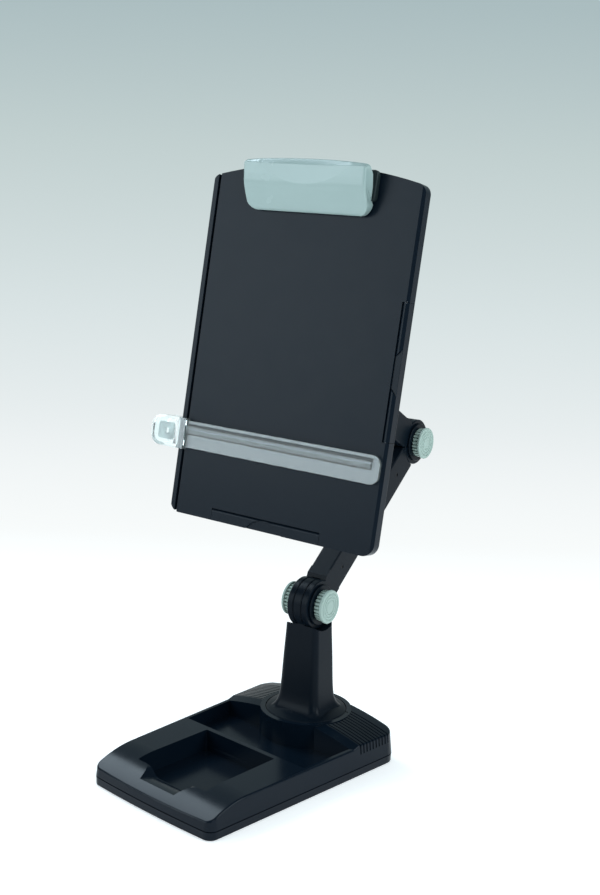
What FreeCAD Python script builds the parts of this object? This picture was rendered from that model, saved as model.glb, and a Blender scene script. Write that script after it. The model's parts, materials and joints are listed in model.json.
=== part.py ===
import FreeCAD, Part
import math
import os

from FreeCAD import Placement, Rotation, Vector

# A desk document holder: an organizer base with a note tray and a disc-case well,
# a swivel column, two folding arms and a clipboard-like board with a line guide.
# The origin is on the swivel axis at desk level, +Y points to the back, +Z is up.
# Lengths are in millimetres and angles in degrees.

# Rest pose
swivel_yaw = 7.4
lower_arm_lean = 52.5
upper_arm_rise = 28.9
board_tilt = 9.1
board_roll = 1.0

# Clearances
running_gap = 0.3
pin_clearance = 0.05
seat_gap = 0.1

# Base plan
base_front = 203.0
base_front_half_width = 75.6
base_front_bow = 2.4
base_back = 38.4
base_back_bow = 2.4
base_rear_half_width = 87.1
front_corner_radius = 9.0
rear_corner_radius = 15.0

# Base heights
foot_height = 0.6
parting_height = 9.0
base_top_height = 28.0
base_wall = 2.5
side_draft = 2.2
lower_draft = 0.3
bottom_chamfer = 0.4
parting_groove = 1.0
top_edge_radius = 1.8

# Rolled front edge of the base
roll_radius = 95.0
roll_start = 158.0

# Crowned hump at the back, with a flat boss for the swivel and grip grooves beside it
hump_crown_height = 40.2
hump_crown_radius = 328.0
hump_front = 27.5
hump_ramp = 9.5
hump_ramp_drop = 2.7
swivel_boss_radius = 44.5
swivel_boss_height = 38.0
rear_boss_low = 22.0
groove_count = 10
groove_pitch = 4.3
groove_width = 1.5
groove_depth = 1.1
groove_first = 16.2
groove_wrap = 7.0

# Note tray
tray_half_width = 43.5
tray_front = 177.5
tray_back = 92.0
tray_floor = 8.0
tray_ledge_height = 12.3
tray_ledge_depth = 1.4
pocket_wall = 2.2
pocket_corner = 2.0
scoop_half_width = 31.0
scoop_bottom_half_width = 13.0
scoop_low = 16.8
scoop_high = 25.6
scoop_ramp_front = 17.0
scoop_ramp_rise = 9.5
scoop_ramp_back = 6.0

# Disc-case well
well_front = 87.0
well_front_half_width = 74.5
well_rear_half_width = 77.6
well_floor = 14.0

# Swivel
slip_ring_thickness = 1.1
slip_ring_inner_radius = 24.0
slip_ring_outer_radius = 37.0
recess_depth = 2.5
disc_radius = 39.0
disc_rim_height = 1.6
disc_dome_height = 6.1
spigot_radius = 14.0
hub_thickness = 7.0
retainer_radius = 20.0
retainer_thickness = 2.0
swivel_screw_radius = 2.5
swivel_screw_head_radius = 5.0
swivel_screw_head_height = 2.8
swivel_screw_grip = 16.0
access_hole_radius = 11.0
cover_pad_radius = 17.0

# Column
knuckle_height = 144.2
column_half_width = 18.2
column_half_depth = 15.2
column_foot_spread = 3.0
column_corner = 5.0
column_wall = 3.0
column_lug_root = 30.0

# Knuckles, shared by all three pivots
drum_radius = 23.5
drum_chamfer = 0.8
lug_half_width = 4.35
knuckle_clearance = 0.7
friction_cap_radius = 19.6
friction_cap_thickness = 2.5
knob_radius = 15.0
knob_flange_radius = 16.2
knob_body_length = 6.5
knob_flange_length = 2.7
knob_rib_count = 26
knob_rib_radius = 1.25
knob_ring_radii = (13.0, 10.0, 7.0)
knob_ring_depth = 0.5
bolt_radius = 3.0
hex_across_flats = 10.0
hex_height = 3.6
knob_web = 2.2

# Arms
lower_arm_length = 220.2
upper_arm_length = 207.0
arm_half_width = 11.0
arm_half_depth = 14.4
arm_edge_radius = 1.4
arm_wall = 2.2
arm_root = 32.0
arm_shoulder_angle = 31.0
arm_cover_thickness = 1.8
arm_screw_distance = 48.0
arm_screw_radius = 1.3
arm_screw_head_radius = 1.9
arm_screw_recess = 1.2
arm_post_half_length = 4.0

# Head bracket behind the board
turntable_radius = 32.0
turntable_thickness = 3.0
hub_radius = 12.0
hub_retainer_radius = 17.0
hub_retainer_thickness = 1.6
hub_screw_radius = 2.0
hub_screw_head_radius = 4.5
hub_screw_head_height = 1.5
head_ear_half_height = 16.0

# Board
board_half_width = 112.65
board_offset = 3.65
board_bottom = 160.5
board_shoulder = 157.5
board_crown = 171.5
board_thickness = 11.0
board_bottom_corner = 11.0
board_top_corner = 9.0
board_face_wall = 2.5
board_back_wall = 2.2
board_side_wall = 13.5
board_end_wall = 14.0
board_top_wall = 12.0
rail_width = 5.7
rail_edge_chamfer = 1.2
right_bevel_width = 3.0
right_bevel_depth = 1.5
guide_groove_width = 2.85
guide_groove_depth = 5.0
board_post_radius = 3.2
board_screw_radius = 1.2
board_screw_head_radius = 2.4
board_screw_head_height = 1.2
board_screw_columns = (-88.0, 0.0, 88.0)
board_screw_rows = (-128.0, 118.0)

# Flip-out ledges
ledge_length = 119.6
ledge_height = 11.0
ledge_offset = -2.65
side_ledge_height = 6.3
side_ledge_depth = 9.0
side_ledge_offset = -0.95
ledge_barrel_radius = 2.6
ledge_wall = 2.4
ledge_pin_radius = 1.0
ledge_pin_reach = 4.0
ledge_notch_radius = 25.0
ledge_notch_width = 40.0
ledge_notch_depth = 1.4

# Clip
clip_half_width = 62.6
clip_jaw_height = 128.0
clip_corner_radius = 10.0
clip_pivot_rise = 25.0
clip_pivot_distance = 9.5
clip_pin_radius = 1.5
clip_pin_half_length = 55.0
clip_crown = 4.0
clip_reach = 28.8
clip_edge_rise = 40.0
clip_height = 44.0
clip_dish_radius = 84.0
clip_dish_depth = 1.1
clip_dish_rise = 24.5
clip_base_half_width = 67.0
clip_base_gap = 13.0
clip_base_height = 27.0
clip_base_depth = 5.0
clip_lug_thickness = 4.0
clip_lug_positions = (-48.0, -16.0, 16.0, 48.0)
clip_pad_thickness = 1.2
spring_wire_radius = 0.8
spring_coil_radius = 3.2
spring_turns = 4

# Line guide
guide_rest_height = -85.5
guide_half_height = 12.6
guide_right_end = 109.65
guide_stand_off = 1.4
guide_thickness = 2.4
guide_lens_half_height = 5.2
guide_lens_offset = 4.7
guide_lens_rise = 1.8
guide_end_radius = 8.0
grip_left_end = 142.4
grip_half_height = 14.5
grip_front = 6.4
grip_wall = 2.6
grip_back_reach = 9.0
grip_end_radius = 12.0
brake_length = 19.0
brake_half_height = 8.0
brake_thickness = 3.6

# Fasteners and feet of the base
foot_radius = 8.0
foot_recess = 1.0
foot_positions = ((-58.0, -174.0), (58.0, -174.0), (-66.0, 6.0), (66.0, 6.0))
base_screw_positions = (
    (-64.0, -189.0),
    (64.0, -189.0),
    (-63.0, -106.0),
    (63.0, -106.0),
    (-70.0, -14.0),
    (70.0, -14.0),
)
post_radius = 4.2
base_screw_radius = 1.5
base_screw_head_radius = 3.0
base_screw_head_height = 2.2
base_screw_length = 14.0
base_screw_recess = 2.6
ballast_half_width = 56.0
ballast_front = 84.0
ballast_back = 32.0
ballast_thickness = 4.0
ballast_screw_x = 44.0
ballast_screw_length = 4.6

# Sizes that follow from the ones above
swivel_seat = swivel_boss_height - recess_depth
disc_bottom = swivel_seat + slip_ring_thickness + running_gap
hub_bottom = swivel_seat - hub_thickness
ear_inner = lug_half_width + running_gap
box_clear_radius = drum_radius + knuckle_clearance
knob_start = arm_half_width + friction_cap_thickness + running_gap
knob_end = knob_start + knob_body_length + knob_flange_length
plate_back = drum_radius + knuckle_clearance
plate_front = plate_back + turntable_thickness
board_back_distance = plate_front + running_gap
pivot_behind_face = board_back_distance + board_thickness
groove_outer = board_half_width - rail_width
groove_inner = groove_outer - guide_groove_width
bolt_hole_radius = bolt_radius + pin_clearance
form_top = hump_crown_height + 5
clip_pivot_height = clip_jaw_height + clip_pivot_rise
clip_dish_low = clip_jaw_height + clip_dish_rise
clip_base_low = clip_jaw_height + clip_base_gap
clip_base_high = clip_base_low + clip_base_height
shell_floor = foot_height + base_wall - 0.3


# ---- simple solids ----

def box(x0, x1, y0, y1, z0, z1):
    return Part.makeBox(x1 - x0, y1 - y0, z1 - z0, Vector(x0, y0, z0))


def rod_x(radius, x0, x1, y=0.0, z=0.0):
    return Part.makeCylinder(radius, x1 - x0, Vector(x0, y, z), Vector(1, 0, 0))


def rod_y(radius, y0, y1, x=0.0, z=0.0):
    return Part.makeCylinder(radius, y1 - y0, Vector(x, y0, z), Vector(0, 1, 0))


def rod_z(radius, z0, z1, x=0.0, y=0.0):
    return Part.makeCylinder(radius, z1 - z0, Vector(x, y, z0), Vector(0, 0, 1))


def fuse(shapes):
    first = shapes[0]
    if len(shapes) == 1:
        return first
    return first.fuse(list(shapes[1:])).removeSplitter()


def cut_each(shape, tools):
    for tool in tools:
        shape = shape.cut(tool)
    return shape


def polygon_face(points):
    return Part.Face(Part.makePolygon(list(points) + [points[0]]))


def bevelled_disc(radius, x0, x1, chamfer):
    """Disc about the X axis with both rims chamfered."""
    points = [
        Vector(x0, 0, 0),
        Vector(x0, 0, radius - chamfer),
        Vector(x0 + chamfer, 0, radius),
        Vector(x1 - chamfer, 0, radius),
        Vector(x1, 0, radius - chamfer),
        Vector(x1, 0, 0),
    ]
    return polygon_face(points).revolve(Vector(0, 0, 0), Vector(1, 0, 0), 360)


def hex_prism(across_flats, x0, x1):
    """Hexagonal prism along the X axis."""
    corner = across_flats / math.sqrt(3)
    points = []
    for step in range(6):
        angle = math.radians(60 * step)
        points.append(Vector(x0, corner * math.cos(angle), corner * math.sin(angle)))
    return polygon_face(points).extrude(Vector(x1 - x0, 0, 0))


def rounded_rectangle(half_x, half_y, corner, z):
    """Wire of a rectangle with round corners, in a plane of constant z."""
    straight_x = half_x - corner
    straight_y = half_y - corner
    edges = []
    quarter = 90
    for turn, (sign_x, sign_y) in enumerate(((1, 1), (-1, 1), (-1, -1), (1, -1))):
        centre = Vector(sign_x * straight_x, sign_y * straight_y, z)
        circle = Part.Circle(centre, Vector(0, 0, 1), corner)
        start = math.radians(turn * quarter)
        edges.append(circle.toShape(start, start + math.pi / 2))
    wire_edges = []
    for index, arc in enumerate(edges):
        follower = edges[(index + 1) % 4]
        wire_edges.append(arc)
        wire_edges.append(Part.makeLine(arc.Vertexes[-1].Point, follower.Vertexes[0].Point))
    return Part.Wire(wire_edges)


def pan_screw(length, shank_radius, head_radius, head_height):
    """Screw along +Z, with its head below z = 0 and its shank above it."""
    head = rod_z(head_radius, -head_height, 0)
    head = head.makeChamfer(head_height * 0.3, [head.Edges[2]])
    slot_half_width = head_radius * 0.14
    slot_reach = head_radius * 0.6
    slot_floor = -head_height * 0.55
    slot = fuse([
        box(-slot_reach, slot_reach, -slot_half_width, slot_half_width, -head_height, slot_floor),
        box(-slot_half_width, slot_half_width, -slot_reach, slot_reach, -head_height, slot_floor),
    ])
    return fuse([head, rod_z(shank_radius, 0, length)]).cut(slot)


def moved(shape, x=0.0, y=0.0, z=0.0):
    copy = shape.copy()
    copy.translate(Vector(x, y, z))
    return copy


def turned(shape, axis, angle):
    copy = shape.copy()
    copy.rotate(Vector(0, 0, 0), axis, angle)
    return copy


# ---- base ----

def base_plan_face(inset):
    """Plan of the base at the parting line, moved inwards by inset, at z = 0."""
    front_y = -base_front
    rear_y = base_back - base_back_bow
    front_left = Vector(-base_front_half_width, front_y, 0)
    front_right = Vector(base_front_half_width, front_y, 0)
    rear_left = Vector(-base_rear_half_width, rear_y, 0)
    rear_right = Vector(base_rear_half_width, rear_y, 0)
    edges = [
        Part.Arc(front_left, Vector(0, front_y - base_front_bow, 0), front_right).toShape(),
        Part.makeLine(front_right, rear_right),
        Part.Arc(rear_right, Vector(0, base_back, 0), rear_left).toShape(),
        Part.makeLine(rear_left, front_left),
    ]
    block = Part.Face(Part.Wire(edges)).extrude(Vector(0, 0, 1))
    front_edges = []
    rear_edges = []
    for edge in block.Edges:
        ends = [vertex.Point for vertex in edge.Vertexes]
        if abs(ends[0].z - ends[1].z) < 0.5:
            continue
        if ends[0].y < 0:
            front_edges.append(edge)
        else:
            rear_edges.append(edge)
    block = block.makeFillet(front_corner_radius, front_edges)
    rear_edges = [edge for edge in block.Edges if is_upright(edge) and near_rear_corner(edge, rear_y)]
    block = block.makeFillet(rear_corner_radius, rear_edges)
    plan = [face for face in block.Faces if face.CenterOfMass.z < 0.01][0]
    if inset == 0:
        return plan
    return plan.makeOffset2D(-inset)


def is_upright(edge):
    ends = [vertex.Point for vertex in edge.Vertexes]
    return len(ends) == 2 and abs(ends[0].z - ends[1].z) > 0.5


def near_rear_corner(edge, rear_y):
    point = edge.Vertexes[0].Point
    return abs(abs(point.x) - base_rear_half_width) < 0.1 and abs(point.y - rear_y) < 0.1


def base_band(z0, inset0, z1, inset1):
    """Solid of the base's plan between two heights, each with its own inset."""
    low = moved(base_plan_face(inset0), z=z0).OuterWire
    high = moved(base_plan_face(inset1), z=z1).OuterWire
    return Part.makeLoft([low, high], True, True)


def roll_height(y):
    """Height of the rolled front part of the top surface at y."""
    return base_top_height - roll_radius + math.sqrt(roll_radius ** 2 - (y + roll_start) ** 2)


def deck_form():
    """Everything under the flat deck and its rolled front edge."""
    beyond = base_front + 20
    far = base_back + 10
    reach = 2 * base_rear_half_width
    middle = -(beyond + roll_start) / 2
    front_top = Vector(-reach / 2, -beyond, roll_height(-beyond))
    deck_start = Vector(-reach / 2, -roll_start, base_top_height)
    deck_end = Vector(-reach / 2, far, base_top_height)
    floor_end = Vector(-reach / 2, far, 0)
    floor_start = Vector(-reach / 2, -beyond, 0)
    edges = [
        Part.Arc(front_top, Vector(-reach / 2, middle, roll_height(middle)), deck_start).toShape(),
        Part.makeLine(deck_start, deck_end),
        Part.makeLine(deck_end, floor_end),
        Part.makeLine(floor_end, floor_start),
        Part.makeLine(floor_start, front_top),
    ]
    return Part.Face(Part.Wire(edges)).extrude(Vector(reach, 0, 0))


def hump_section(y, drop):
    """Wire of the hump's crowned cross-section at y, lowered by drop."""
    half = base_rear_half_width + 5
    edge_z = hump_crown_height - hump_crown_radius + math.sqrt(hump_crown_radius ** 2 - half ** 2) - drop
    left = Vector(-half, y, edge_z)
    right = Vector(half, y, edge_z)
    low_left = Vector(-half, y, 0)
    low_right = Vector(half, y, 0)
    return Part.Wire([
        Part.Arc(left, Vector(0, y, hump_crown_height - drop), right).toShape(),
        Part.makeLine(right, low_right),
        Part.makeLine(low_right, low_left),
        Part.makeLine(low_left, left),
    ])


def base_plain_form(inset, drop):
    """Form of the upper shell without the swivel boss, moved inwards by inset and down by drop."""
    draft = side_draft * (form_top - parting_height) / (base_top_height - parting_height)
    body = base_band(parting_height, inset, form_top, inset + draft)
    crest_y = -hump_front + hump_ramp
    ramp = Part.Face(hump_section(-hump_front, hump_ramp_drop)).extrude(Vector(0, hump_ramp, hump_ramp_drop))
    crown = Part.Face(hump_section(crest_y, 0)).extrude(Vector(0, base_back + 10 - crest_y, 0))
    return body.common(moved(fuse([deck_form(), ramp, crown]), z=-drop))


def front_of(y, shape):
    """The part of a shape near the swivel that lies in front of y."""
    return shape.common(box(-60, 60, -60, y, 0, form_top))


def swivel_boss():
    """Flat boss for the swivel disc, which also bulges out of the rear wall."""
    return rod_z(swivel_boss_radius, rear_boss_low, swivel_boss_height)


def rim_edges(shape):
    """Edges where the deck meets the side wall."""
    found = []
    for edge in shape.Edges:
        faces = shape.ancestorsOfType(edge, Part.Face)
        if len(faces) != 2:
            continue
        middle = edge.valueAt((edge.FirstParameter + edge.LastParameter) / 2)
        slopes = []
        for face in faces:
            u, v = face.Surface.parameter(middle)
            slopes.append(face.normalAt(u, v).z)
        near_side = max(abs(middle.x) / 60, middle.y / 30, -middle.y / 190) > 1
        if near_side and -0.4 < min(slopes) < 0.4 and max(slopes) > 0.7:
            found.append(edge)
    return found


def well_prism(grow, z0, z1):
    """Disc-case well seen from above, grown by grow, between two heights."""
    points = [
        Vector(-well_front_half_width - grow, -well_front - grow, z0),
        Vector(well_front_half_width + grow, -well_front - grow, z0),
        Vector(well_rear_half_width + grow, -hump_front + grow, z0),
        Vector(-well_rear_half_width - grow, -hump_front + grow, z0),
    ]
    trough = polygon_face(points).extrude(Vector(0, 0, z1 - z0))
    return trough.cut(rod_z(swivel_boss_radius - grow, z0, z1))


def tray_prism(grow, z0, z1):
    """Note tray seen from above, grown by grow, between two heights."""
    block = box(-tray_half_width - grow, tray_half_width + grow, -tray_front - grow, -tray_back + grow, z0, z1)
    upright = [edge for edge in block.Edges if is_upright(edge)]
    return block.makeFillet(pocket_corner + grow, upright)


def scoop_ramp():
    """Solid under the smooth ramp that leads from the tray's floor up to the rolled front."""
    half = scoop_half_width
    back = -tray_front + scoop_ramp_back
    front = -tray_front - scoop_ramp_front
    crest = roll_height(front)
    profile = Part.BezierCurve()
    profile.setPoles([
        Vector(-half, back, tray_floor),
        Vector(-half, back - 3, tray_floor + scoop_ramp_rise),
        Vector(-half, front + 12, crest - 0.4),
        Vector(-half, front, crest),
    ])
    low = tray_floor - pocket_wall
    edges = [
        profile.toShape(),
        Part.makeLine(Vector(-half, front, crest), Vector(-half, front, low)),
        Part.makeLine(Vector(-half, front, low), Vector(-half, back, low)),
        Part.makeLine(Vector(-half, back, low), Vector(-half, back, tray_floor)),
    ]
    return Part.Face(Part.Wire(edges)).extrude(Vector(2 * half, 0, 0))


def scoop_cutter():
    """Finger scoop through the tray's front wall, with S-shaped ends above the ramp."""
    high = base_top_height + 4
    y0 = -tray_front - scoop_ramp_front
    y1 = -tray_front + 1
    middle = (scoop_half_width + scoop_bottom_half_width) / 2
    left = Part.BezierCurve()
    left.setPoles([
        Vector(-scoop_half_width, y0, scoop_high),
        Vector(-middle + 1, y0, scoop_high),
        Vector(-middle - 1, y0, scoop_low),
        Vector(-scoop_bottom_half_width, y0, scoop_low),
    ])
    left_edge = left.toShape()
    edges = [
        left_edge,
        left_edge.mirror(Vector(0, 0, 0), Vector(1, 0, 0)),
        Part.makeLine(Vector(-scoop_bottom_half_width, y0, scoop_low), Vector(scoop_bottom_half_width, y0, scoop_low)),
        Part.makeLine(Vector(scoop_half_width, y0, scoop_high), Vector(scoop_half_width, y0, high)),
        Part.makeLine(Vector(scoop_half_width, y0, high), Vector(-scoop_half_width, y0, high)),
        Part.makeLine(Vector(-scoop_half_width, y0, high), Vector(-scoop_half_width, y0, scoop_high)),
    ]
    face = Part.Face(Part.Wire(Part.__sortEdges__(edges)))
    return face.extrude(Vector(0, y1 - y0, 0)).cut(scoop_ramp())


def grip_groove_cutter(outer):
    """Shallow grooves beside the swivel that run over the edge and down the side."""
    slabs = []
    reach = base_rear_half_width + 5
    for index in range(groove_count):
        y = -groove_first + groove_pitch * index
        low = base_top_height - groove_wrap
        slabs.append(box(-reach, reach, y - groove_width / 2, y + groove_width / 2, low, form_top))
    skin = outer.cut(base_plain_form(groove_depth, groove_depth))
    return skin.common(Part.makeCompound(slabs)).cut(rod_z(swivel_boss_radius, 0, form_top))


def base_hollow():
    """Room inside the upper shell, left open at the parting line."""
    boss_floor = swivel_seat - base_wall
    hollow = fuse([
        base_plain_form(base_wall, base_wall),
        base_band(parting_height - 1, base_wall, parting_height, base_wall),
        front_of(20, rod_z(swivel_boss_radius - base_wall, parting_height, boss_floor)),
    ])
    filled = [
        tray_prism(pocket_wall, tray_floor - pocket_wall, form_top),
        well_prism(pocket_wall, well_floor - pocket_wall, form_top),
        box(-scoop_half_width - 2, scoop_half_width + 2, -base_front, -tray_front, tray_floor, form_top),
        rod_z(retainer_radius + base_wall, hub_bottom, form_top),
        rod_z(swivel_boss_radius, boss_floor, form_top),
    ]
    for x, y in base_screw_positions:
        filled.append(rod_z(post_radius, parting_height, form_top, x, y))
    return cut_each(hollow, filled)


def make_base_top_shell():
    plain = base_plain_form(0, 0)
    outer = plain.makeFillet(top_edge_radius, rim_edges(plain))
    grooves = grip_groove_cutter(outer)
    flat = outer.cut(rod_z(swivel_boss_radius, swivel_boss_height, form_top + 5))
    shell = fuse([flat, swivel_boss()]).cut(base_hollow())
    tray_block = tray_prism(pocket_wall, tray_floor - pocket_wall, parting_height + 1)
    shell = fuse([shell, tray_block])
    recess_radius = disc_radius + running_gap + 0.3
    shell = shell.cut(tray_prism(0, tray_floor, form_top).cut(scoop_ramp()))
    shell = shell.cut(well_prism(0, well_floor, form_top))
    shell = shell.cut(scoop_cutter())
    shell = shell.cut(grooves)
    shell = shell.cut(rod_z(recess_radius, swivel_seat, form_top))
    shell = shell.cut(rod_z(spigot_radius + pin_clearance, hub_bottom - 5, form_top))
    for x, y in base_screw_positions:
        tip = foot_height + base_screw_recess + base_screw_length + 0.5
        shell = shell.cut(rod_z(base_screw_radius, parting_height - 1, tip, x, y))
    ledge_half = tray_half_width - 6
    ledge = box(-ledge_half, ledge_half, -tray_back - tray_ledge_depth, -tray_back, tray_floor, tray_ledge_height)
    return fuse([shell, ledge])


def make_base_bottom_shell():
    groove_low = parting_height - parting_groove
    lower = base_band(foot_height, lower_draft, groove_low, 0)
    bottom_edges = [edge for edge in lower.Edges if edge.BoundBox.ZMax < foot_height + 0.01]
    lower = lower.makeChamfer(bottom_chamfer, bottom_edges)
    lip = base_band(groove_low, parting_groove, parting_height, parting_groove)
    body = fuse([lower, lip])
    body = body.cut(base_band(shell_floor, base_wall + 0.4, parting_height + 1, base_wall + 0.4))
    added = []
    for x, y in base_screw_positions:
        added.append(rod_z(post_radius, foot_height, parting_height, x, y))
    for x in (-ballast_screw_x, ballast_screw_x):
        added.append(rod_z(post_radius, shell_floor, shell_floor + 1.5, x, -(ballast_front + ballast_back) / 2))
    body = fuse([body] + added)
    for x, y in base_screw_positions:
        seat = foot_height + base_screw_recess
        body = body.cut(rod_z(base_screw_head_radius + 0.4, 0, seat, x, y))
        body = body.cut(rod_z(base_screw_radius, 0, parting_height + 1, x, y))
    for x, y in foot_positions:
        body = body.cut(rod_z(foot_radius, 0, foot_height + foot_recess, x, y))
    for x in (-ballast_screw_x, ballast_screw_x):
        y = -(ballast_front + ballast_back) / 2
        body = body.cut(rod_z(base_screw_radius, foot_height + 0.8, shell_floor + 2, x, y))
    body = body.cut(rod_z(cover_pad_radius, 0, foot_height + foot_recess))
    return body.cut(rod_z(access_hole_radius, 0, parting_height))


def make_ballast_plate():
    z0 = shell_floor + 1.5
    plate = box(-ballast_half_width, ballast_half_width, -ballast_front, -ballast_back, z0, z0 + ballast_thickness)
    upright = [edge for edge in plate.Edges if is_upright(edge)]
    plate = plate.makeFillet(4.0, upright)
    for x in (-ballast_screw_x, ballast_screw_x):
        plate = plate.cut(rod_z(base_screw_radius, z0, z0 + 10, x, -(ballast_front + ballast_back) / 2))
    return plate


def make_ballast_screws():
    screws = []
    for x in (-ballast_screw_x, ballast_screw_x):
        screw = pan_screw(ballast_screw_length, base_screw_radius, base_screw_head_radius, 1.6)
        screw = turned(screw, Vector(1, 0, 0), 180)
        top = shell_floor + 1.5 + ballast_thickness
        screws.append(moved(screw, x, -(ballast_front + ballast_back) / 2, top))
    return Part.makeCompound(screws)


def make_base_screws():
    screws = []
    for x, y in base_screw_positions:
        screw = pan_screw(base_screw_length, base_screw_radius, base_screw_head_radius, base_screw_head_height)
        screws.append(moved(screw, x, y, foot_height + base_screw_recess))
    return Part.makeCompound(screws)


def make_rubber_feet():
    feet = []
    for x, y in foot_positions:
        foot = rod_z(foot_radius, 0, foot_height + foot_recess, x, y)
        rim = [edge for edge in foot.Edges if edge.BoundBox.ZMax < 0.01]
        feet.append(foot.makeFillet(0.6, rim))
    return Part.makeCompound(feet)


def make_pivot_cover_pad():
    pad = rod_z(cover_pad_radius, 0, foot_height + foot_recess)
    rim = [edge for edge in pad.Edges if edge.BoundBox.ZMax < 0.01]
    return pad.makeFillet(0.6, rim)


def make_slip_ring():
    ring = rod_z(slip_ring_outer_radius, swivel_seat, swivel_seat + slip_ring_thickness)
    return ring.cut(rod_z(slip_ring_inner_radius, swivel_seat - 1, swivel_seat + 5))


# ---- column, in the swivel's frame ----

def column_section(z, spread):
    return rounded_rectangle(column_half_width + spread, column_half_depth + spread, column_corner + spread * 0.5, z)


def make_swivel_column():
    rim_top = disc_bottom + disc_rim_height
    dome_top = disc_bottom + disc_dome_height
    blend = 0.9
    profile = [
        Part.makeLine(Vector(0, 0, disc_bottom), Vector(disc_radius, 0, disc_bottom)),
        Part.makeLine(Vector(disc_radius, 0, disc_bottom), Vector(disc_radius, 0, rim_top - blend)),
        Part.makeLine(Vector(disc_radius, 0, rim_top - blend), Vector(disc_radius - blend, 0, rim_top)),
        Part.Arc(
            Vector(disc_radius - blend, 0, rim_top),
            Vector(disc_radius * 0.6, 0, rim_top + (dome_top - rim_top) * 0.62),
            Vector(0, 0, dome_top),
        ).toShape(),
        Part.makeLine(Vector(0, 0, dome_top), Vector(0, 0, disc_bottom)),
    ]
    disc = Part.Face(Part.Wire(profile)).revolve(Vector(0, 0, 0), Vector(0, 0, 1), 360)
    column_top = knuckle_height - column_half_depth
    foot_z = disc_bottom + disc_rim_height
    levels = (
        (foot_z, 4.0 * column_foot_spread),
        (foot_z + 3, 2.7 * column_foot_spread),
        (foot_z + 9, 1.7 * column_foot_spread),
        (foot_z + 19, 1.15 * column_foot_spread),
        (foot_z + 34, 0.85 * column_foot_spread),
        (foot_z + 60, 0.45 * column_foot_spread),
        (column_top, 0.0),
    )
    shaft = Part.makeLoft([column_section(z, spread) for z, spread in levels], True, False)
    saddle = rod_x(box_clear_radius, -60, 60, 0, knuckle_height)
    shaft = shaft.cut(saddle)
    lug = moved(bevelled_disc(drum_radius, -lug_half_width, lug_half_width, drum_chamfer), z=knuckle_height)
    neck = box(
        -lug_half_width, lug_half_width, -column_half_depth, column_half_depth,
        knuckle_height - column_lug_root, knuckle_height,
    )
    spigot = rod_z(spigot_radius, hub_bottom - running_gap, disc_bottom + 1)
    body = fuse([disc, shaft, spigot])
    hollow_top = knuckle_height - column_lug_root - 6
    hollow = Part.makeLoft([
        column_section(disc_bottom + 9, 0.2 - column_wall),
        column_section(hollow_top, -column_wall - 0.5),
    ], True, True)
    boss = rod_z(swivel_screw_radius + 3, disc_bottom, disc_bottom + swivel_screw_grip + 6)
    body = fuse([body.cut(hollow.cut(boss)), lug, neck])
    hole = rod_z(swivel_screw_radius, 0, hub_bottom + swivel_screw_grip)
    return body.cut(hole).cut(rod_x(bolt_hole_radius, -60, 60, 0, knuckle_height))


def make_swivel_retainer():
    top = hub_bottom - running_gap
    ring = rod_z(retainer_radius, top - retainer_thickness, top)
    return ring.cut(rod_z(swivel_screw_radius, 0, top + 1))


def make_swivel_screw():
    seat = hub_bottom - running_gap - retainer_thickness
    length = retainer_thickness + swivel_screw_grip
    screw = pan_screw(length, swivel_screw_radius, swivel_screw_head_radius, swivel_screw_head_height)
    return moved(screw, z=seat)


# ---- knuckles, in a frame with the pivot at the origin and the bolt along X ----

def make_knob():
    """Right-hand knob with ribs, a face flange with rings and a hexagonal pocket inside."""
    body_end = knob_start + knob_body_length
    body = rod_x(knob_radius, knob_start, body_end + 0.5)
    cuts = []
    for index in range(knob_rib_count):
        angle = 2 * math.pi * index / knob_rib_count
        y = knob_radius * math.cos(angle)
        z = knob_radius * math.sin(angle)
        cuts.append(rod_x(knob_rib_radius, knob_start - 1, body_end, y, z))
    body = cut_each(body, cuts)
    flange = rod_x(knob_flange_radius, body_end, knob_end)
    rims = [edge for edge in flange.Edges if edge.Length > 2 * math.pi * knob_flange_radius - 1]
    flange = flange.makeFillet(0.9, [max(rims, key=lambda edge: edge.CenterOfMass.x)])
    knob = fuse([body, flange])
    for ring in knob_ring_radii:
        section = polygon_face([
            Vector(knob_end + 0.1, 0, ring - knob_ring_depth),
            Vector(knob_end - knob_ring_depth, 0, ring),
            Vector(knob_end + 0.1, 0, ring + knob_ring_depth),
        ])
        knob = knob.cut(section.revolve(Vector(0, 0, 0), Vector(1, 0, 0), 360))
    pocket = hex_prism(hex_across_flats, knob_start - 1, knob_start + hex_height)
    stem = rod_x(bolt_hole_radius, knob_start - 1, knob_end - knob_web)
    return knob.cut(pocket).cut(stem)


def make_clamp_bolt():
    """Bolt whose hexagonal head sits in the left knob and whose end reaches the right knob."""
    head = hex_prism(hex_across_flats, -knob_start - hex_height, -knob_start)
    shank = rod_x(bolt_radius, -knob_start - 0.5, knob_end - knob_web - 0.4)
    return fuse([head, shank])


def make_knob_nut():
    nut = hex_prism(hex_across_flats, knob_start, knob_start + hex_height)
    return nut.cut(rod_x(bolt_hole_radius, 0, 60))


def make_friction_cap():
    disc = bevelled_disc(friction_cap_radius, arm_half_width, arm_half_width + friction_cap_thickness, 0.6)
    return disc.cut(rod_x(bolt_hole_radius, 0, 60))


def mirrored_side(shape):
    """The same piece on the other end of the bolt."""
    return turned(shape, Vector(0, 0, 1), 180)


# ---- arms, in a frame with the lower pivot at the origin and the arm along Z ----

def arm_outer(length):
    block = box(-arm_half_width, arm_half_width, -arm_half_depth, arm_half_depth, 0, length)
    upright = [edge for edge in block.Edges if is_upright(edge)]
    block = block.makeFillet(arm_edge_radius, upright)
    ends = Part.makeCompound([
        rod_x(box_clear_radius, -60, 60),
        rod_x(box_clear_radius, -60, 60, 0, length),
    ])
    return block.cut(ends)


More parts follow.
